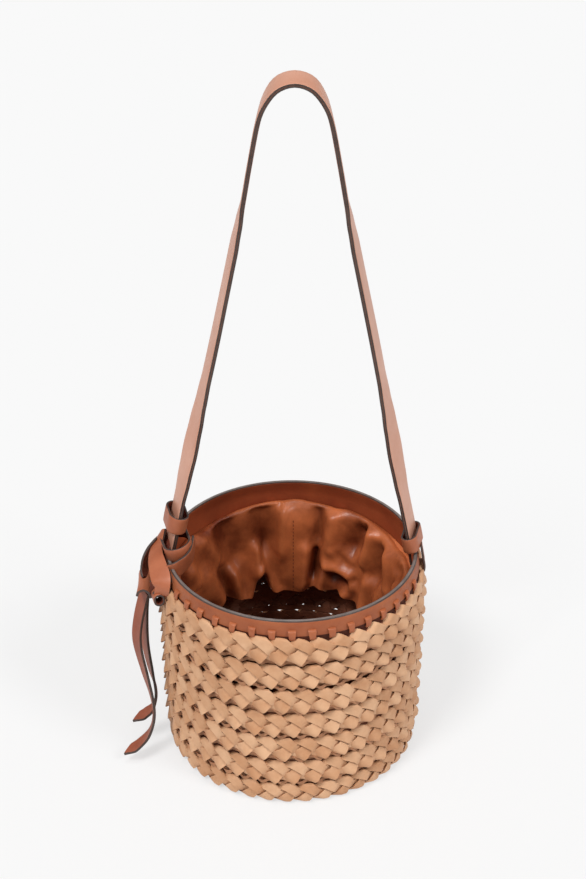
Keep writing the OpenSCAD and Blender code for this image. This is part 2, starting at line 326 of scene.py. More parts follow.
def leather(name, light, dark, rough=0.5, pore=1500, relief=0.25, mottle=60, contrast=0.5, toneAndPaintedLight=0.0):
    material = bpy.data.materials.new(name)
    material.use_nodes = True
    tree = material.node_tree
    shader = tree.nodes["Principled BSDF"]
    place = tree.nodes.new("ShaderNodeTexCoord")

    cloud = tree.nodes.new("ShaderNodeTexNoise")  # broad tone of the hide
    cloud.inputs["Scale"].default_value = mottle
    cloud.inputs["Detail"].default_value = hide["detail"]
    cloud.inputs["Roughness"].default_value = hide["clouds"]
    tree.links.new(place.outputs["Object"], cloud.inputs["Vector"])
    share = tree.nodes.new("ShaderNodeMapRange")
    share.inputs["From Min"].default_value = 0.5 - contrast / 2
    share.inputs["From Max"].default_value = 0.5 + contrast / 2
    tree.links.new(cloud.outputs["Fac"], share.inputs["Value"])
    value = share.outputs[0]
    if toneAndPaintedLight:  # each strip's own tone, with painted shade in the plait's folded corners and painted shade and highlight on the collar's folds
        own = tree.nodes.new("ShaderNodeAttribute")
        own.attribute_name = "toneAndPaintedLight"
        mixTone = tree.nodes.new("ShaderNodeMath")
        mixTone.operation = "MULTIPLY_ADD"
        mixTone.inputs[1].default_value = toneAndPaintedLight
        mixTone.use_clamp = True
        tree.links.new(own.outputs["Fac"], mixTone.inputs[0])
        tree.links.new(value, mixTone.inputs[2])
        value = mixTone.outputs[0]
    ramp = tree.nodes.new("ShaderNodeValToRGB")
    ramp.color_ramp.elements[0].color = light
    ramp.color_ramp.elements[1].color = dark
    tree.links.new(value, ramp.inputs["Fac"])
    tree.links.new(ramp.outputs["Color"], shader.inputs["Base Color"])

    pores = tree.nodes.new("ShaderNodeTexVoronoi")  # grain of the skin
    pores.inputs["Scale"].default_value = pore
    tree.links.new(place.outputs["Object"], pores.inputs["Vector"])
    crease = tree.nodes.new("ShaderNodeTexNoise")
    crease.inputs["Scale"].default_value = pore / 5
    crease.inputs["Detail"].default_value = hide["creases"]
    tree.links.new(place.outputs["Object"], crease.inputs["Vector"])
    height = tree.nodes.new("ShaderNodeMath")
    height.operation = "MULTIPLY_ADD"
    height.inputs[1].default_value = hide["pores"]
    tree.links.new(pores.outputs["Distance"], height.inputs[0])
    tree.links.new(crease.outputs["Fac"], height.inputs[2])
    bump = tree.nodes.new("ShaderNodeBump")
    bump.inputs["Strength"].default_value = relief
    bump.inputs["Distance"].default_value = hide["deep"]
    tree.links.new(height.outputs[0], bump.inputs["Height"])
    tree.links.new(bump.outputs[0], shader.inputs["Normal"])

    gloss = tree.nodes.new("ShaderNodeMapRange")
    gloss.inputs["To Min"].default_value = rough + hide["gloss"][0]
    gloss.inputs["To Max"].default_value = rough + hide["gloss"][1]
    tree.links.new(crease.outputs["Fac"], gloss.inputs["Value"])
    tree.links.new(gloss.outputs[0], shader.inputs["Roughness"])
    shader.inputs["Specular IOR Level"].default_value = hide["shine"]
    return material


stripFinish = leather("plait_strip", tint(211, 167, 130), tint(186, 134, 95), rough=0.62, mottle=90,
                      contrast=0.7, toneAndPaintedLight=0.8)
stripEdge = leather("plait_strip_edge", tint(176, 126, 90), tint(146, 98, 66), rough=0.75, mottle=200)
laceFinish = leather("seam_lace", tint(188, 136, 100), tint(152, 102, 70), rough=0.65)
rimFinish = leather("rim_facing", tint(165, 94, 56), tint(138, 68, 36), rough=0.5, mottle=40)
# very dark brown, painted shade for the rim facing's lower part behind the plait
rimPaintedShade = leather("rim_painted_shade", tint(84, 34, 15), tint(58, 20, 7), rough=0.8, mottle=80)
rimInside = leather("rim_inside", tint(166, 82, 46), tint(134, 60, 34), rough=0.48, mottle=35)
# lighter copy of the edge paint for the top of the rim's edge, a painted highlight
edgePaintHighlight = leather("edge_paint", tint(128, 116, 111), tint(90, 80, 76), rough=0.3, mottle=120, relief=0.12)
edgeBrown = leather("edge_paint_brown", tint(80, 65, 59), tint(54, 43, 39), rough=0.4, mottle=150,
                    relief=0.12)
stitchFinish = leather("rim_lace", tint(176, 101, 62), tint(146, 74, 40), rough=0.45)
threadFinish = leather("seam_thread", tint(112, 54, 30), tint(80, 38, 22), rough=0.6)
stripInside = leather("plait_inside", tint(124, 72, 48), tint(92, 50, 32), rough=0.75, mottle=90)
linerFinish = leather("liner_nappa", tint(208, 116, 68), tint(100, 42, 21), rough=0.34, mottle=30,
                      pore=1900, relief=0.18, toneAndPaintedLight=0.8)
strapFinish = leather("strap_grain", tint(208, 157, 134), tint(192, 133, 107), rough=0.42, mottle=22)
strapUnder = leather("strap_lining", tint(168, 96, 64), tint(140, 74, 46), rough=0.6, mottle=40)
tieFinish = leather("tie_grain", tint(179, 106, 73), tint(148, 78, 48), rough=0.45, mottle=35)
tieFlesh = leather("tie_flesh", tint(124, 60, 40), tint(92, 38, 22), rough=0.7, mottle=80, pore=900,
                   relief=0.35)
print("finishes mixed")

# plaited bands

plait = {"bands": 7, "cells": 42, "steps": 24, "across": 8, "fill": 0.97, "layer": 1.25, "thick": 1.2,
         "bulge": 0.12, "tilt": 0.25, "dive": 1.8, "early": 0.7, "chamfer": 0.42, "flatTop": 0.58,
         "camber": 0.05, "crease": 4.4, "creaseLong": 7, "corner": 0.38, "cornerPaintedShade": 1.2, "slant": 6,
         "kick": 1.4, "tipHigh": 11, "steep": 0.15, "fine": 0.5, "slack": 0.4, "shake": 0.35, "share": 0.2,
         "inset": 3.3, "seamGap": 4.7, "drop": 1.0, "lastDrop": -0.6, "flare": 2.4, "upright": 0.35,
         "topExtra": 2.3,
         # the lowest band turns under: how far in and from what height
         "under": 3.4, "underHigh": 10,
         # the second seam gapes at the front right: seam, middle, half width, height, reach upwards
         "gape": (2, 35, 26, 2.4, 8),
         # the top band's folds are pointed there: middle, half width, place of the point, and the
         # share cut off to its left and right
         "notch": (42, 40, -0.25, 0.76, 0.62),
         "phases": (0.5, 0.05, 0.62, 0.18, 0.7, 0.2, 0.85)}


def stripDepth(q, h, wide, pitch, down):  # depth and distance from the edge, across the plait
    layer = plait["layer"]
    fold = math.pi * layer / 2
    lift = 2 * h / pitch
    side = (1 - lift) / 2
    if down:  # the strip's left side goes under its neighbour at the lower edge
        under = plait["crease"] * side * ease((q - wide + plait["creaseLong"]) / plait["creaseLong"])
    else:
        under = plait["crease"] * clamp(side - q / (plait["corner"] * wide))
    if q < fold:
        turn = q / layer
        return layer * math.sin(turn) - under, layer * (1 - math.cos(turn))
    if wide - q < fold:
        turn = (wide - q) / layer
        return -layer * math.sin(turn) - under, wide - layer * (1 - math.cos(turn))
    reach = layer + (q - fold) * (wide - 2 * layer) / (wide - 2 * fold)
    past = clamp((q + h / 2 - wide / 2 + plait["early"]) / plait["dive"], -1, 1)
    depth = -layer * (1.5 * past - 0.5 * past ** 3)
    front = clamp(q / (wide / 2 - h / 2))
    rise = 1 - (2 * front - 1) ** 4 if front < 1 else 0
    depth += plait["bulge"] * rise * (1 - 0.5 * lift * lift)
    depth += plait["tilt"] * rise * lift * (-1 if down else 1.4)
    depth -= plait["camber"] * lift ** 4 * (1 if depth > 0 else 0)
    return depth - under, reach


def stripAdvance(share, h, wide):  # steeper in front than behind, in pitches
    soft = 0.06
    peak = math.sqrt(1 + soft * soft)
    saw = 2 * ((share + h / (2 * wide)) % 1) - 1
    return 1.5 * share - plait["steep"] * (peak - math.sqrt(saw * saw + soft * soft)) / (peak - soft)


def plaitStrand(template, name, strand, cells, wide, pitch, phase, place, tips, notched, rng):
    travels = 2 * cells // 3
    shakes = [(rng.gauss(0, plait["shake"]), rng.gauss(0, plait["shake"] * 0.5), rng.uniform(-0.5, 0.5),
               rng.gauss(0, plait["slack"])) for _ in range(travels)]
    strip = copyOf(template, name)
    paintedLightAndTones = strip.data.attributes.new("toneAndPaintedLight", "FLOAT", "POINT")
    for vertex in strip.data.vertices:
        u, v = vertex.co.x * travels, vertex.co.y
        travel = min(int(u + 1e-6), travels - 1)
        share = u - travel
        q = wide * (share - plait["fine"] * math.sin(2 * math.pi * share) / (2 * math.pi))
        h = (v - 0.5) * pitch * plait["fill"]
        down = travel % 2 == 0
        depth, reach = stripDepth(q, h, wide, pitch, down)
        here = shakes[travel]
        near = shakes[travel - 1] if share < 0.5 else shakes[(travel + 1) % travels]
        own = mix(0.5, 1, ease(min(share, 1 - share) / plait["share"]))
        dz, dr, toneAndPaintedLight, dx = [mix(b, a, own) for a, b in zip(here, near)]
        up = wide - reach if down else reach
        x = pitch * (1.5 * travel + stripAdvance(q / wide, h, wide) + strand + phase) + h + dx
        cut = plait["chamfer"] * clamp((abs(2 * h / pitch) - plait["flatTop"]) / (1 - plait["flatTop"]))
        if notched:
            middle, half, point, left, right = plait["notch"]
            off = turned(360 * x / (pitch * cells), middle)
            away = 2 * h / pitch - point
            sharp = left * -away / (1 + point) if away < 0 else right * away / (1 - point)
            cut = mix(cut, sharp, math.exp(-(off / half) ** 4))
        if up > wide / 2:  # the fold's two corners are tucked in at the top
            up = wide / 2 + (up - wide / 2) * (1 - cut)
        side = clamp((2 * h / pitch + 1) / 2)  # the lower fold slopes down to a tip
        tip = tips * clamp(1 - up / plait["tipHigh"])
        # only the strip that lies in front
        front = ease(((q - wide if down else q) / plait["layer"] + 1.6) / 3.2)
        up += plait["slant"] * tip * (1 - side) * front
        depth += plait["kick"] * tip * side * side
        vertex.co = place(x, up + dz * 0.8, depth + dr)
        # painted shade: the lower corner of each upward strip, folded in under its neighbour, is coloured
        # darker
        corner = 0 if down else plait["cornerPaintedShade"] * clamp(1 - side - q / (plait["corner"] * wide))
        paintedLightAndTones.data[vertex.index].value = toneAndPaintedLight + corner
    mergeEnds(strip)
    return strip


def plaitPiece(name, cells, wide, pitch, phase, place, tips, seed, inside, notched=False):
    # inside tells which faces are dark
    rng = random.Random(seed)
    travels = 2 * cells // 3
    template = newGrid("strip_blank", travels * plait["steps"], plait["across"])
    strips = [plaitStrand(template, name + str(s), s, cells, wide, pitch, phase, place, tips, notched, rng)
              for s in range(3)]
    bpy.data.objects.remove(template)
    piece = joined(strips, name)
    dress(piece, stripFinish, stripEdge, stripInside)
    thicken(piece, plait["thick"], even=False)
    paintFaces(piece, 2, lambda face: inside(face.center / mm, face.normal))
    smooth(piece, 50)
    return piece


def plaitBand(number):
    node = "plait_band_%d" % number
    low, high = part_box(node)
    middle = high.x / mm - plait["inset"]
    first, last = number == 1, number == plait["bands"]
    drop = plait["lastDrop"] if last else plait["drop"]
    wide = (high.z - low.z) / mm - plait["seamGap"] + (drop - plait["drop"])
    if first:
        wide += plait["topExtra"]
    pitch = 2 * math.pi * middle / plait["cells"]
    foot = low.z / mm - drop

    def place(x, up, depth):
        turn = x / middle
        seam, gapeMiddle, half, gape, reach = plait["gape"]
        if number == seam:
            off = turned(math.degrees(turn), gapeMiddle)
            up += gape * clamp(1 - up / reach) * math.exp(-(off / half) ** 2)
        # each band's foot stands over the next one's top
        radius = middle + depth + plait["flare"] * (plait["upright"] - up / wide)
        if last:
            radius -= plait["under"] * clamp(1 - up / plait["underHigh"]) ** 2
        return ringPoint(radius, turn, foot + up)

    def inside(at, way):
        radius = math.hypot(at.x, at.y)
        wall = middle + plait["flare"] * (plait["upright"] - (at.z - foot) / wide)
        return outward(at, way) / radius < 0.2 and radius < wall - 0.6

    piece = plaitPiece("woven_band_%d" % number, plait["cells"], wide, pitch,
                       plait["phases"][number - 1], place, 0 if last else 1, 100 + number, inside, first)
    settle(piece, "bag", "plait_leather", node)


for number in range(1, plait["bands"] + 1):
    plaitBand(number)
print("wall plaited")

# base

base = {"cells": {"base_ring_1": 33, "base_ring_2": 24, "base_ring_3": 15, "base_centre": 9},
        "wide": 23.0, "hole": 4.5, "gap": 0.1, "lift": 0.9, "phase": 0.3, "tips": 0.3, "darkFrom": 0.6,
        "buttonR": 6.2, "buttonHigh": 3.4, "buttonEdge": 1.1}


def basePlait(node, cells):
    low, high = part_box(node)
    outer = high.x / mm
    wide = base["wide"] if node != "base_centre" else outer - base["hole"]
    inner = outer - wide - base["gap"]
    middle = (outer + inner) / 2
    pitch = 2 * math.pi * middle / cells
    level = (low.z + high.z) / 2 / mm + base["lift"]

    def place(x, up, depth):
        return ringPoint(inner + up, x / middle, level - depth)

    piece = plaitPiece("woven_" + node, cells, wide, pitch, base["phase"], place, base["tips"], cells,
                       lambda at, way: at.z > level + base["darkFrom"])
    if node == "base_centre":
        deselectAll()
        bpy.ops.mesh.primitive_cylinder_add(vertices=32, radius=base["buttonR"] * mm,
                                            depth=base["buttonHigh"] * mm, location=(0, 0, level * mm))
        button = bpy.context.object
        bpy.ops.object.transform_apply(location=True)
        bevel = button.modifiers.new("edges", "BEVEL")
        bevel.width, bevel.segments = base["buttonEdge"] * mm, 3
        applyModifiers(button)
        dress(button, stripFinish, stripInside)
        paintFaces(button, 1, lambda face: face.normal.z > 0.3)
        piece = joined([piece, button], piece.name)
        smooth(piece, 50)
    settle(piece, "bag", "plait_leather", node)


for node, cells in base["cells"].items():
    basePlait(node, cells)
print("base plaited")

# laces of the seams

lace = {"wide": 2.7, "thick": 1.1, "waves": 42, "waveSteps": 8, "swing": 2.0, "uneven": 0.2,
        "weave": 0.9, "tilt": 0.6, "lag": 0.8, "flatWave": 0.6, "flatTilt": 0.5, "low": 2.0, "out": 1.6,
        "baseIn": 3, "baseUp": 0.6, "edgeIn": 2.4,
        # the lace comes back straight behind the seam
        "backWide": (5.6, 5.6, 5.6, 5.6, 4.7, 5.6), "baseBack": 7, "backThick": 1, "backOut": -0.4,
        "backUp": 1.6, "backCount": 126}


def ringLace(name, node, radius, level, waves, flat, seed, backWide=0):  # waved thong round the seam
    rng = random.Random(seed)
    shift = [rng.uniform(-1, 1) for _ in range(waves)]
    piece = newGrid(name, waves * lace["waveSteps"], 3)

    def place(u, v):
        turn = 2 * math.pi * u
        wave = math.cos(turn * waves) * lace["swing"] + shift[int(u * waves) % waves] * lace["uneven"]
        out = math.sin(turn * waves) * lace["weave"]
        across = (v - 0.5) * lace["wide"]
        lean = lace["tilt"] * math.sin(turn * waves + lace["lag"])
        if flat:
            r = radius + across * math.cos(lean) + wave * lace["flatWave"]
            z = level + across * math.sin(lean) * lace["flatTilt"]
        else:
            r, z = radius + out + across * math.sin(lean), level + wave + across * math.cos(lean)
        return ringPoint(r, turn, z)

    def outSide(face):  # above zero on the bag's outside, which is below for the base
        return -face.normal.z if flat else outward(face.center, face.normal)

    for vertex in piece.data.vertices:
        vertex.co = place(vertex.co.x, vertex.co.y)
    mergeEnds(piece)
    dress(piece, laceFinish, stripInside)
    thicken(piece, lace["thick"], edgeSlot=0, even=False)
    paintFaces(piece, 1, lambda face: outSide(face) < 0)
    if backWide:
        if flat:
            deep, high, r, z = backWide, lace["backThick"], radius, level + lace["backUp"]
        else:
            deep, high, r, z = lace["backThick"], backWide, radius - lace["out"] + lace["backOut"], level
        corners = [(r + a * deep / 2, z + b * high / 2) for a, b in ((-1, -1), (1, -1), (1, 1), (-1, 1))]
        back = spunRing("lace_back", corners, lace["backCount"], stripInside, laceFinish)
        paintFaces(back, 1, lambda face: outSide(face) > 0)
        piece = joined([piece, back], name)
    smooth(piece, 50)
    settle(piece, "bag", "lace_leather", node)


def seamPlace(node):  # outer radius and middle height
    low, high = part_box(node)
    return high.x / mm, (low.z + high.z) / 2 / mm


for number in range(1, plait["bands"]):
    node = "seam_lace_%d" % number
    radius, level = seamPlace(node)
    ringLace("laced_seam_%d" % number, node, radius + lace["out"], level - lace["low"], lace["waves"],
             False, number, lace["backWide"][number - 1])
for number in (1, 2, 3):
    node = "base_lace_%d" % number
    radius, level = seamPlace(node)
    ringLace("laced_base_%d" % number, node, radius - lace["baseIn"], level + lace["baseUp"],
             base["cells"]["base_ring_%d" % number], True, 20 + number, lace["baseBack"])
radius, level = seamPlace("base_edge_lace")
ringLace("laced_base_edge", "base_edge_lace", radius - lace["edgeIn"], level, lace["waves"], False, 30)
print("seams laced")

# rim

rim = {"count": 168, "foot": 147, "wall": 162.4, "top": 172.4, "faceR": 98.8, "lean": 1.6,
       "facingTop": 171.7, "round": 0.4, "low": (152, 157, 160.2), "high": (165, 168), "paintedShadeBelow": 160,
       # depth of both sides of each facing behind the rim's outer face
       "outer": (0, 1.15), "inner": (2.3, 3.45),
       # painted edge: depth and height
       "paint": ((1.2, 150), (1.2, 171.2), (0.3, 171.2), (0.2, 171.6), (0.35, 172.1), (0.75, 172.5),
                 (1.25, 172.72), (1.75, 172.8), (2.25, 172.72), (2.75, 172.5), (3.15, 172.1),
                 (3.3, 171.6), (3.2, 171.2), (2.3, 171.2), (2.3, 150))}


def rimRadius(z, depth):  # radius of the rim at this height, this deep behind its outer face
    return rim["faceR"] - depth - rim["lean"] * clamp((z - rim["wall"]) / (rim["top"] - rim["wall"]))


def rimProfile(front, back):
    top, soft = rim["facingTop"], rim["round"]
    levels = [rim["foot"], *rim["low"], rim["wall"], *rim["high"], top - soft]
    outside = [(rimRadius(z, front), z) for z in levels] + [(rimRadius(top, front) - soft, top)]
    inside = [(rimRadius(z, back), z) for z in levels]
    return outside + inside[::-1]


outerFacing = spunRing("rim_outer", rimProfile(*rim["outer"]), rim["count"], rimFinish, rimPaintedShade)
paintFaces(outerFacing, 1, lambda face: face.center.z < rim["paintedShadeBelow"] * mm)  # painted shade below the stitches, where the facing lies in the dark gap behind the plait's top
settle(outerFacing, "bag", "rim_leather", "rim_outer_facing")
innerFacing = spunRing("rim_inner", rimProfile(*rim["inner"]), rim["count"], rimInside)
settle(innerFacing, "bag", "rim_leather", "rim_inner_facing")
paintTop = [(rimRadius(z, depth), z) for depth, z in rim["paint"]]
paintedEdge = spunRing("rim_painted_edge", paintTop, rim["count"], edgePaintHighlight, edgeBrown)
settle(paintedEdge, "bag", "rim_core", "rim_core")
paintFaces(paintedEdge, 1, lambda face: face.normal.z <= 0.8)  # painted highlight on the top of the edge, painted shade on its sides

stitch = {"count": 42, "steps": 11, "across": 4, "wide": 5.2, "thick": 1.2, "clear": 0.223, "radius": 99,
          "route": ((97.9, 164.8), (98.8, 164.7), (99.5, 164.1), (99.9, 163.2), (100.2, 162),
                    (100.4, 160.5), (100.3, 158.9), (99.5, 157.5))}


def rimStitches():
    rng = random.Random(5)
    blank = newGrid("stitch_blank", stitch["steps"], stitch["across"])
    route = [Vector(p) for p in stitch["route"]]
    pieces = []
    for i in range(stitch["count"]):
        turn = i * 2 * math.pi / stitch["count"]
        if abs(math.cos(turn)) < stitch["clear"]:  # none at the strap's two feet
            continue
        twin = copyOf(blank, "stitch")
        lift, skew = rng.uniform(-0.4, 0.4), rng.uniform(-0.6, 0.6)
        wide = stitch["wide"] * rng.uniform(0.92, 1.08)
        for vertex in twin.data.vertices:
            u, v = vertex.co.x, vertex.co.y
            at = along(route, u)
            side = (v - 0.5) * wide * (1.12 - 0.4 * u) + skew * u
            ridge = 0.4 * math.sin(math.pi * u) + 0.6 * math.exp(-((u - 0.25) / 0.14) ** 2)
            crown = (1 - (2 * v - 1) ** 2) * ridge
            vertex.co = ringPoint(at.x + crown, turn + side / stitch["radius"], at.y + lift * (1 - u))
        pieces.append(twin)
    bpy.data.objects.remove(blank)
    piece = joined(pieces, "rim_stitches")
    dress(piece, stitchFinish)
    thicken(piece, stitch["thick"], edgeSlot=0)
    smooth(piece, 50)
    settle(piece, "bag", "lace_leather", "rim_lacing")


rimStitches()
print("rim made")

# soft collar inside

collar = {"columns": 480, "rows": 60, "thick": 1.2, "top": 158.4, "hem": 75, "radius": 85, "deepest": 15,
          "widest": 94.7, "ripple": 1.5, "swell": 2, "sink": 2.4, "topWave": 1.4, "hemWave": 3,
          "seam": 179.5, "seamHalf": 0.38, "seamTop": 0.15,
          "stitches": 24, "stitchFrom": 0.15, "stitchTo": 0.8, "thread": 0.32, "threadOut": 0.75,
          # folds hidden from the front: angles, distance, start, lean and end
          "hidden": (286, 450), "hiddenGap": (9, 15), "hiddenTop": (100, 150), "hiddenLean": (-8, 8),
          "hiddenEnd": 76,
          # from the rim over the top and down to the hem: radius and height
          "route": ((94.7, 146), (94.5, 150), (93.2, 154.6), (91.4, 157.4), (89.3, 158.2), (87.4, 157),
                    (85.2, 151.5), (83.6, 141), (83, 131), (82.6, 121), (82.3, 110), (82, 99), (81.8, 87),
                    (81.6, 75)),
          # folds: angle and height at both ends, width to the left and right, depth towards the middle
          "folds": ((186, 152, 188, 118, 3, 10, 7), (188, 118, 186, 90, 6, 9, 3),
                    (178, 140, 178, 74, 11, 11, 4), (197, 151, 196, 122, 10, 9, -9),
                    (201, 121, 202, 100, 5, 4.5, 10), (202, 100, 208, 73, 6, 4, 9),
                    (200, 100, 190, 73, 4, 6, 9), (198, 86, 198, 70, 5, 5, -8),
                    (240, 120, 229, 86, 9, 8, 8), (224, 110, 219, 78, 6, 5, -6),
                    (217, 102, 214, 74, 5, 5, 7), (219, 150, 213, 118, 12, 10, -7),
                    (238, 152, 229, 128, 8, 6, 4), (256, 136, 242, 92, 6, 8, 6),
                    (250, 112, 237, 80, 5, 6, -5), (270, 145, 266, 76, 13, 13, -9),
                    (171, 117, 172, 82, 6, 3, 7), (166, 115, 168, 88, 3, 4, -8),
                    (157, 154, 160, 110, 5, 10, 7), (165, 153, 164, 130, 6, 5, -4),
                    (158, 105, 143, 102, 6, 4, 9), (157, 91, 145, 88, 5, 5, -7),
                    (161, 88, 163, 73, 5, 5, 5), (140, 92, 147, 73, 6, 5, 8),
                    (129, 104, 131, 74, 8, 6, 8), (117, 112, 118, 76, 7, 6, 7),
                    (136, 153, 138, 145, 4, 4, -4), (139, 143, 142, 130, 9, 7, -9),
                    (130, 153, 133, 122, 5, 8, 8), (122, 140, 121, 116, 12, 10, -7),
                    (114, 149, 107, 122, 6, 8, 7), (99, 142, 101, 80, 8, 8, 7),
                    (151, 124, 144, 116, 4, 4, 3), (156, 122, 151, 112, 3, 3, 3)),
          # where the top sags and where the hem is raised: angle, half width, height
          "sags": ((182, 7, 2), (205, 12, -1.5), (229, 14, -6), (254, 10, -2), (156, 9, -1.5),
                   (134, 9, -3), (112, 15, -8), (90, 12, -7)),
          "raised": ((198, 4, 16), (166, 6, 5), (150, 7, 6), (224, 4, 5))}


def foldDepth(angle, z, folds):
    scale = math.radians(collar["radius"])
    depth = 0
    for a1, z1, a2, z2, left, right, deep in folds:
        x, y = turned(angle, a1) * scale, z - z1
        dx, dy = (a2 - a1) * scale, z2 - z1
        t = clamp((x * dx + y * dy) / (dx * dx + dy * dy))
        ox, oy = x - dx * t, y - dy * t
        side = ox if abs(dy) > abs(dx) else oy
        half = left if side > 0 else right
        depth += deep * math.exp(-(ox * ox + oy * oy) / (half * half))
    return depth


def bumps(angle, rows):
    return sum(high * math.exp(-(turned(angle, at) / half) ** 2) for at, half, high in rows)


def softCollar():
    rng = random.Random(11)
    folds = list(collar["folds"])
    angle, end = collar["hidden"]
    while angle < end:
        angle += rng.uniform(*collar["hiddenGap"])
        start = rng.uniform(*collar["hiddenTop"])
        folds.append((angle, start, angle + rng.uniform(*collar["hiddenLean"]), collar["hiddenEnd"],
                      rng.uniform(5, 9), rng.uniform(4, 7), rng.uniform(3, 6)))
        folds.append((angle + 6, start + 6, angle + 5, start - 30,
                      rng.uniform(6, 9), rng.uniform(6, 9), -rng.uniform(4, 7)))
    piece = newGrid("soft_collar", collar["columns"], collar["rows"])
    route = [Vector(p) for p in collar["route"]]
    deepest = collar["deepest"]
    paintedLightAndTones = piece.data.attributes.new("toneAndPaintedLight", "FLOAT", "POINT")
    for vertex in piece.data.vertices:
        u, v = vertex.co.x, vertex.co.y
        angle = 360 * (u % 1)
        turn = math.radians(angle)
        at = along(route, v)
        hangs = v > 0.3
        share = clamp((collar["top"] - at.y) / (collar["top"] - collar["hem"])) if hangs else 0
        around = Vector((math.cos(turn), math.sin(turn), 0))
        soft = noise.noise(around * 2.3 + Vector((0, 0, 4)))
        fine = noise.noise(Vector((around.x * 8, around.y * 8, at.y * 0.035)))
        free = ease((v - 0.14) / 0.2)
        inward = foldDepth(angle, at.y if hangs else collar["top"], folds)
        inward = inward + collar["ripple"] * fine + collar["swell"] * soft
        inward = deepest * math.tanh(inward / deepest)
        # painted shade in the collar's hollows and painted highlight on the folds that bulge inwards
        raised = 0.25 * clamp((inward - 3) / 8)
        paintedLightAndTones.data[vertex.index].value = 0.55 * clamp((2 - inward) / 9) * free - raised
        r = min(at.x - inward * free * (0.3 + 0.7 * ease(share / 0.05)), collar["widest"])
        sag = bumps(angle, collar["sags"]) - collar["sink"] + collar["topWave"] * noise.noise(around * 6)
        z = at.y + sag * ease(v / 0.22) * (1 - share)
        hemNoise = noise.noise(around * 4.2 + Vector((3, 1, 0)))
        hem = bumps(angle, collar["raised"]) + collar["hemWave"] * hemNoise
        z += hem * share ** 4
        vertex.co = ringPoint(r, turn, z)
    mergeEnds(piece)
    soften = piece.modifiers.new("soften", "SMOOTH")
    soften.factor, soften.iterations = 0.5, 3
    applyModifiers(piece)

    def onSeam(point):
        angle = math.degrees(math.atan2(point.x, -point.y)) % 360
        return abs(angle - collar["seam"]) < collar["seamHalf"] and point.z < collar["seamTop"]

    seam = [vertex.co.copy() for vertex in piece.data.vertices if onSeam(vertex.co)]
    dress(piece, linerFinish)
    thicken(piece, collar["thick"], edgeSlot=0, even=False)
    smooth(piece, 60)
    settle(piece, "bag", "lining_leather", "liner_collar")
    return piece, sorted(seam, key=lambda point: -point.z)


def seamThread(line):  # short stitches down the collar's seam
    stitches = []
    for i in range(collar["stitches"]):
        start = along(line, (i + collar["stitchFrom"]) / collar["stitches"])
        end = along(line, (i + collar["stitchTo"]) / collar["stitches"])
        middle = (start + end) / 2
        inward = Vector((-middle.x, -middle.y, 0)).normalized() * collar["threadOut"] * mm
        deselectAll()
        bpy.ops.mesh.primitive_uv_sphere_add(segments=8, ring_count=5, radius=collar["thread"] * mm,
                                             location=(0, 0, 0))
        bead = bpy.context.object
        way = end - start
        bead.scale = (1, 0.8, way.length / (2 * collar["thread"] * mm))
        bead.rotation_euler = way.to_track_quat("Z", "Y").to_euler()
        bead.location = middle + inward
        bpy.ops.object.transform_apply(location=True, rotation=True, scale=True)
        stitches.append(bead)
    thread = joined(stitches, "collar_stitches")
    dress(thread, threadFinish)
    smooth(thread, 60)
    return settle(thread, "bag", "lining_leather")


liner, seamLine = softCollar()
seamStitches = seamThread(seamLine)
print("collar hung")

# strap

strap = {"wide": 22, "layer": 1.7, "camber": 0.25, "steps": 220, "anchorX": 94.15, "rimTop": rim["top"],
         "legTop": (36.2, 454), "legSpans": 9, "fine": 30, "across": 6, "press": 0.1, "pivotH": 46,
         "low": 3.2, "sway": 2, "swayFrom": 40, "swayLong": 160,
         "crown": ((30.7, 485), (25, 514.5), (20.2, 529.6), (12, 541), (0, 545.1), (-12, 541)),
         # turn of the strap's width at this length from the rim
         "turns": ((0, 15), (45, 15), (66, 19.5), (89, 22.5), (111, 19), (132, 13.5), (153, 10),
                   (255, 8.3), (274, 4.5), (293, -2), (350, -3), (385, 5), (500, 5))}
strapLean = math.atan2(strap["anchorX"] - strap["legTop"][0], strap["legTop"][1] - strap["rimTop"])


def strapRoute():  # points of the right half up to its top, and the length to each
    foot = Vector((strap["anchorX"], 0, strap["rimTop"]))
    top = Vector((strap["legTop"][0], 0, strap["legTop"][1]))
    points = [foot.lerp(top, i / strap["legSpans"]) for i in range(strap["legSpans"] + 1)]
    points += [Vector((x, 0, z)) for x, z in strap["crown"]]
    spans, fine = len(points) - 1, strap["fine"]
    route = [along(points, i / (spans * fine)) for i in range((spans - 1) * fine + 1)]
    lengths = [0]
    for a, b in zip(route, route[1:]):
        lengths.append(lengths[-1] + (b - a).length)
    return route, lengths


strapPoints, strapLengths = strapRoute()


def strapPlace(s):  # middle of the right half at this length from the rim, its way out and its turn
    i = min(max(bisect.bisect(strapLengths, s) - 1, 0), len(strapPoints) - 2)
    a, b = strapPoints[i], strapPoints[i + 1]
    place = a.lerp(b, (s - strapLengths[i]) / (strapLengths[i + 1] - strapLengths[i]))
    before, after = strapPoints[max(i - 3, 0)], strapPoints[min(i + 4, len(strapPoints) - 1)]
    way = (after - before).normalized() if s < strapLengths[-1] - 2 else Vector((-1, 0, 0))
    turn = 0
    for (s1, turn1), (s2, turn2) in zip(strap["turns"], strap["turns"][1:]):
        if s1 <= s < s2:
            turn = mix(turn1, turn2, ease((s - s1) / (s2 - s1)))
    return place, Vector((way.z, 0, -way.x)), math.radians(turn)


def strapPoint(u, v, off):
    s = mix(strap["low"], strapLengths[-1], 1 - abs(1 - 2 * u))
    place, out, turn = strapPlace(s)
    across = Vector((out.x * math.sin(turn), math.cos(turn), out.z * math.sin(turn)))
    up = Vector((out.x * math.cos(turn), -math.sin(turn), out.z * math.cos(turn)))
    at = place + across * ((v - 0.5) * strap["wide"]) + up * off
    sway = strap["sway"] * ease((s - strap["swayFrom"]) / strap["swayLong"])
    return Vector(((at.x if u < 0.5 else -at.x) + sway, at.y, at.z)) * mm


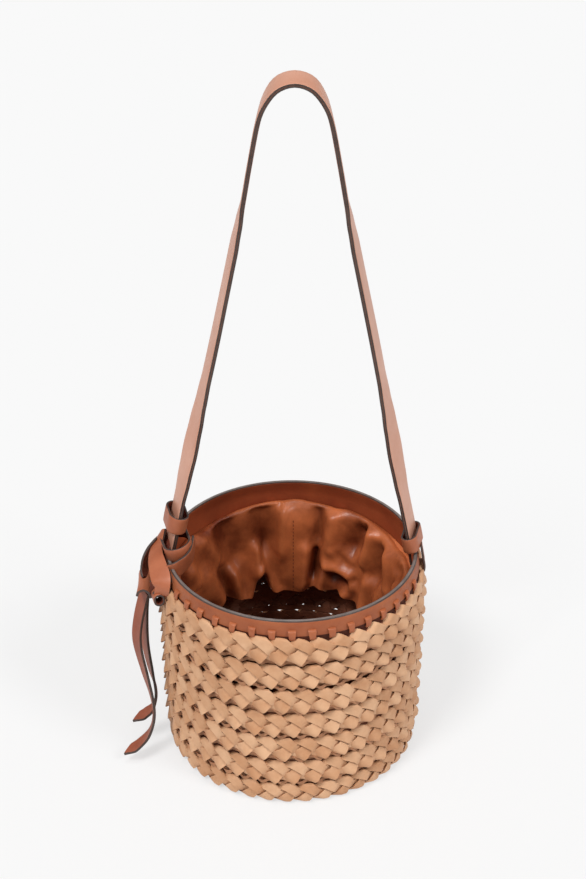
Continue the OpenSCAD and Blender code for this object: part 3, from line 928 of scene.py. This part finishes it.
def strapLayer(name, side, finish, slot, *nodeNames):  # side is 1 for the face and -1 for the lining
    piece = newGrid(name, strap["steps"], strap["across"])
    for vertex in piece.data.vertices:
        u, v = vertex.co.x, vertex.co.y
        belly = strap["camber"] * (1 - abs(2 * v - 1) ** 3)
        vertex.co = strapPoint(u, v, side * (strap["layer"] / 2 - strap["press"] + belly))
    dress(piece, finish, edgeBrown)
    thicken(piece, strap["layer"], rounding=0.45, segments=3)
    outwardFaces(piece)
    smooth(piece, 50)
    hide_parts(*nodeNames)
    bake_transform(piece)


strapLayer("strap_outer", 1, strapFinish, "strap_leather", "strap_face", "strap_end_left", "strap_end_right")
strapLayer("strap_inner", -1, strapUnder, "strap_lining_leather", "strap_lining")
print("strap made")

# keeper and loop

keeper = {"wide": 15.6, "long": 26.2, "thick": 1.7, "high": 14, "lift": 20, "wave": 0.5, "belly": 0.018,
          "steps": 72, "across": 5}
hangLoop = {"wide": 12.6, "long": 26.2, "high": 13, "lift": 2, "wave": 0.4, "belly": 0.018,
            "tabWide": 12, "tabY": -2, "tabSteps": 16,
            "outerTab": ((99.6, 177), (100.6, 170.5), (101.8, 164), (102.6, 158.5), (102.2, 154)),
            "innerTab": ((88.6, 177), (90.4, 172), (91.4, 166), (92.2, 160))}


def onStrap(point, left):  # from the strap's own frame, +Z along it, to the bag's
    turn = Matrix.Rotation(-strapLean, 4, "Y") @ Matrix.Rotation(math.radians(-strap["turns"][0][1]), 4, "Z")
    at = turn @ point + Vector((strap["anchorX"], 0, strap["rimTop"]))
    return Vector((-at.x if left else at.x, at.y, at.z))


def oblongPoint(u, wide, long):  # round a long hole with round ends
    radius, straight = wide / 2, long - wide
    full = 2 * straight + 2 * math.pi * radius
    d = (u % 1) * full
    if d < straight:
        return Vector((radius, d - straight / 2, 0))
    d -= straight
    if d < math.pi * radius:
        a = d / radius
        return Vector((radius * math.cos(a), straight / 2 + radius * math.sin(a), 0))
    d -= math.pi * radius
    if d < straight:
        return Vector((-radius, straight / 2 - d, 0))
    a = (d - straight) / radius
    return Vector((-radius * math.cos(a), -straight / 2 - radius * math.sin(a), 0))


def leatherRing(name, sizes, thick, place, finishes):  # place takes a point with +Z along the ring's axis
    piece = newGrid(name, keeper["steps"], keeper["across"])
    for vertex in piece.data.vertices:
        u, v = vertex.co.x, vertex.co.y
        at = oblongPoint(u, sizes["wide"] - thick, sizes["long"] - thick)
        belly = 1 + sizes["belly"] * (1 - (2 * v - 1) ** 2)
        wave = sizes["wave"] * math.sin(2 * math.pi * u + 0.7) * (0.4 + 0.6 * v)
        z = sizes["lift"] + v * sizes["high"] + wave
        vertex.co = place(Vector((at.x * belly, at.y * belly, z))) * mm
    mergeEnds(piece)
    dress(piece, *finishes)
    outwardFaces(piece)
    thicken(piece, thick, rounding=0.45, segments=2, backSlot=len(finishes) - 1)
    smooth(piece, 50)
    return piece


def ribbon(name, rows, wide, thick, steps, finishes, point=0, camber=0.35, across=6, widths=None):
    places = [Vector(row[:3]) for row in rows]
    ways = [Vector(row[3:6]) for row in rows]
    shares = [Vector((w, 0, 0)) for w in widths] if widths else None
    piece = newGrid(name, steps, across)
    last = places[-1]
    for vertex in piece.data.vertices:
        u, v = vertex.co.x, vertex.co.y
        at = along(places, u)
        way = (along(places, min(u + 0.004, 1)) - along(places, max(u - 0.004, 0))).normalized()
        flat = along(ways, u)
        side = (flat - way * flat.dot(way)).normalized()
        up = side.cross(way)
        share = min(1, 0.08 + (last - at).length / point) if point else 1
        if shares:
            share *= along(shares, u).x
        belly = camber * (1 - (2 * v - 1) ** 2)
        vertex.co = (at + side * ((v - 0.5) * wide * share) + up * belly) * mm
    dress(piece, *finishes)
    thicken(piece, thick, rounding=0.45, segments=2, edgeSlot=1, backSlot=2, even=False)
    outwardFaces(piece)
    smooth(piece, 50)
    return piece


leatherSides = (tieFinish, edgeBrown, tieFlesh)
ring = leatherRing("strap_keeper_ring", keeper, keeper["thick"], lambda at: onStrap(at, True), leatherSides)
settle(ring, "keeper", "tie_leather", "strap_keeper")
loopParts = [leatherRing("loop_ring", hangLoop, keeper["thick"], lambda at: onStrap(at, False), leatherSides)]
for tabName in ("outerTab", "innerTab"):
    tabRows = [(x, hangLoop["tabY"], z, 0, 1, 0) for x, z in hangLoop[tabName]]
    loopParts.append(ribbon("loop_tab", tabRows, hangLoop["tabWide"], keeper["thick"],
                            hangLoop["tabSteps"], leatherSides))
loop = joined(loopParts, "strap_loop_ring")
settle(loop, "bag", "tie_leather", "strap_loop")
print("keeper and loop made")

# thongs of the tie: each row is a place and the way of the thong's width

tie = {"wide": 11, "thick": 2, "cornerX": -95.45, "tailX": -113.5, "rootZ": 144.4, "point": 9,
       "tailSteps": 72}

crossRoute = ((-3.5, 6, 11, .5, .1, .8), (-8.3, -6, 2.9, .8, -.2, .5), (-8.4, -15.5, .9, .85, -.25, .4),
              (-6.5, -25, -1, .9, -.25, .35), (-4.4, -32.5, -3.6, .92, -.25, .3),
              (-2.7, -38, -6.4, .93, -.25, .25), (-2.3, -40.2, -11.2, .9, -.4, .2),
              (-3.6, -38.5, -16.6, .9, -.4, .2), (-5.8, -34.5, -19.6, .9, -.4, .2))
crossWidths = (0.6, 0.85, 1, 1.15, 1.25, 1.2, 1, 0.85, 0.8)
wrapRoute = ((.2, -23.5, -6, 0, -.15, .98), (2, -27, -4.6, 0, -.15, .98),
             (4.6, -29.2, -2.6, 0, -.15, .98), (7.8, -29.6, -.8, 0, -.15, .98),
             (11.2, -28.4, 1.2, 0, -.15, .98), (14.8, -25.6, 2.8, 0, -.15, .98),
             (17.8, -20, 3.8, 0, -.15, .98), (19.2, -11, 4.4, 0, 0, 1), (19.4, -2, 4.8, 0, 0, 1))
wrapWidths = (0.3, 0.55, 0.9, 1, 1, 1, 1, 1, 1)
underRoute = ((2, 4, 8, .5, .1, .8), (-2.5, -5, 0, .8, -.2, .5), (-3.4, -14, -2.5, .85, -.25, .4),
              (-1.8, -22.5, -5, .9, -.25, .35), (0, -28.5, -8, .9, -.25, .3))
backRoute = ((-13, -29.5, -18.7, 0, 0, 1), (-7, -30.6, -19, 0, 0, 1), (-2, -31.6, -19.3, 0, 0, 1))
sideRoute = ((-9, 5, 5, .1, -.8, .6), (-14.6, 1, -2.5, -.15, -.8, .6), (-17.6, -3, -9.5, -.3, -.8, .5),
             (-18.4, -8, -16.5, -.35, -.85, .4), (-17, -13, -21, -.3, -.85, .4))
capRoute = ((-12.4, -16.5, -26.5, 0, 1, 0), (-14.2, -16.6, -21.4, 0, 1, 0), (-18, -16.8, -19.2, 0, 1, 0),
            (-21.8, -17, -21, 0, 1, 0), (-23, -17, -24.6, 0, 1, 0))
frontRoute = ((0, -20, 1, .6, -.8, 0), (6, -22, .82, .6, -.8, 0), (7.5, -25, .68, .6, -.8, 0),
              (2.5, -29, .5, .5, -.87, 0), (-2.5, -34, .36, .3, -.95, 0), (-4, -38, .25, .1, -1, 0),
              (-.5, -42, .16, -.1, -1, -.1), (8.5, -47, .1, -.2, -1, -.2), (20, -52, .06, -.3, -1, -.2))
rearRoute = ((0, -8, 1, .55, -.85, 0), (2.5, -8.5, .82, .55, -.85, 0), (3, -10, .62, .55, -.85, 0),
             (-.5, -12, .43, .4, -.9, 0), (-4, -15, .3, .1, -1, 0), (-2.5, -19, .22, -.1, -1, -.1),
             (4.5, -23, .18, -.2, -1, -.2), (14.5, -27, .15, -.3, -1, -.2))


def tailRows(route):
    return [(tie["tailX"] - x, y, tie["rootZ"] * z, a, b, c) for x, y, z, a, b, c in route]


# painted shade: the tails take a darker copy of the tie's grain colour, for the shade on their upper part
tailShadedLeather = leather("tie_tail", tint(160, 90, 64), tint(130, 64, 42), rough=0.5, mottle=35)
tailSides = (tailShadedLeather, edgeBrown, tailShadedLeather)
frontTail = ribbon("tail_front", tailRows(frontRoute), tie["wide"], tie["thick"], tie["tailSteps"], tailSides,
                   tie["point"])
rearTail = ribbon("tail_rear", tailRows(rearRoute), tie["wide"], tie["thick"], tie["tailSteps"], tailSides,
                  tie["point"])
settle(frontTail, "front_tail", "tie_leather", "tie_tail_front")
settle(rearTail, "rear_tail", "tie_leather", "tie_tail_rear")
for tail, route, length in ((frontTail, frontRoute, 0.1535), (rearTail, rearRoute, 0.1363)):
    rows = [Vector(row[:3]) for row in tailRows(route)]
    path = [tuple(along(rows, i / 30) * mm) for i in range(31)]
    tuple(path[0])

knotRing = {"wide": 22, "long": 36, "high": 11, "lift": -5.5, "wave": 0.3, "belly": 0.03,
            "middle": (-88.5, -5, 178.6), "tilt": 14}
strapTurn = Matrix.Rotation(math.radians(strap["turns"][0][1]), 4, "Z")
ringTurn = Matrix.Rotation(math.radians(-knotRing["tilt"]), 4, "Y") @ strapTurn
knotEye = {"wide": 8.6, "long": 10.4, "thick": 1.7, "high": 11, "lift": -5.5, "wave": 0.2, "belly": 0.02,
           "middle": (-101.7, -36.4, 150.4), "axis": (.25, -.95, .1)}
eyeTurn = Vector(knotEye["axis"]).to_track_quat("Z", "Y")


def onRing(at):
    return ringTurn @ at + Vector(knotRing["middle"])


def onEye(at):
    return eyeTurn @ at + Vector(knotEye["middle"])


def thong(name, route, wide, steps, sides, **shape):  # band of the knot, placed from the rim's left
    rows = [(x + tie["cornerX"], y, z + strap["rimTop"], a, b, c) for x, y, z, a, b, c in route]
    return ribbon(name, rows, wide, tie["thick"], steps, sides, **shape)


fleshOut = leatherSides[::-1]
knot = joined([
    leatherRing("tie_ring", knotRing, tie["thick"], onRing, leatherSides),
    thong("tie_cross", crossRoute, wide=12.5, steps=90, sides=leatherSides, camber=-0.6,
          widths=crossWidths),
    thong("tie_wrap", wrapRoute, wide=14, steps=48, sides=leatherSides, camber=-0.5, widths=wrapWidths),
    thong("tie_under", underRoute, wide=11, steps=28, sides=fleshOut),
    leatherRing("tie_eye", knotEye, knotEye["thick"], onEye, leatherSides),
    thong("tie_back", backRoute, wide=14, steps=16, sides=fleshOut),
    thong("tie_side", sideRoute, wide=13, steps=28, sides=leatherSides),
    thong("tie_cap", capRoute, wide=30, steps=28, sides=fleshOut, camber=-0.6),
], "tie_knot_thong")
settle(knot, "bag", "tie_leather", "tie_knot")
print("tie knotted")
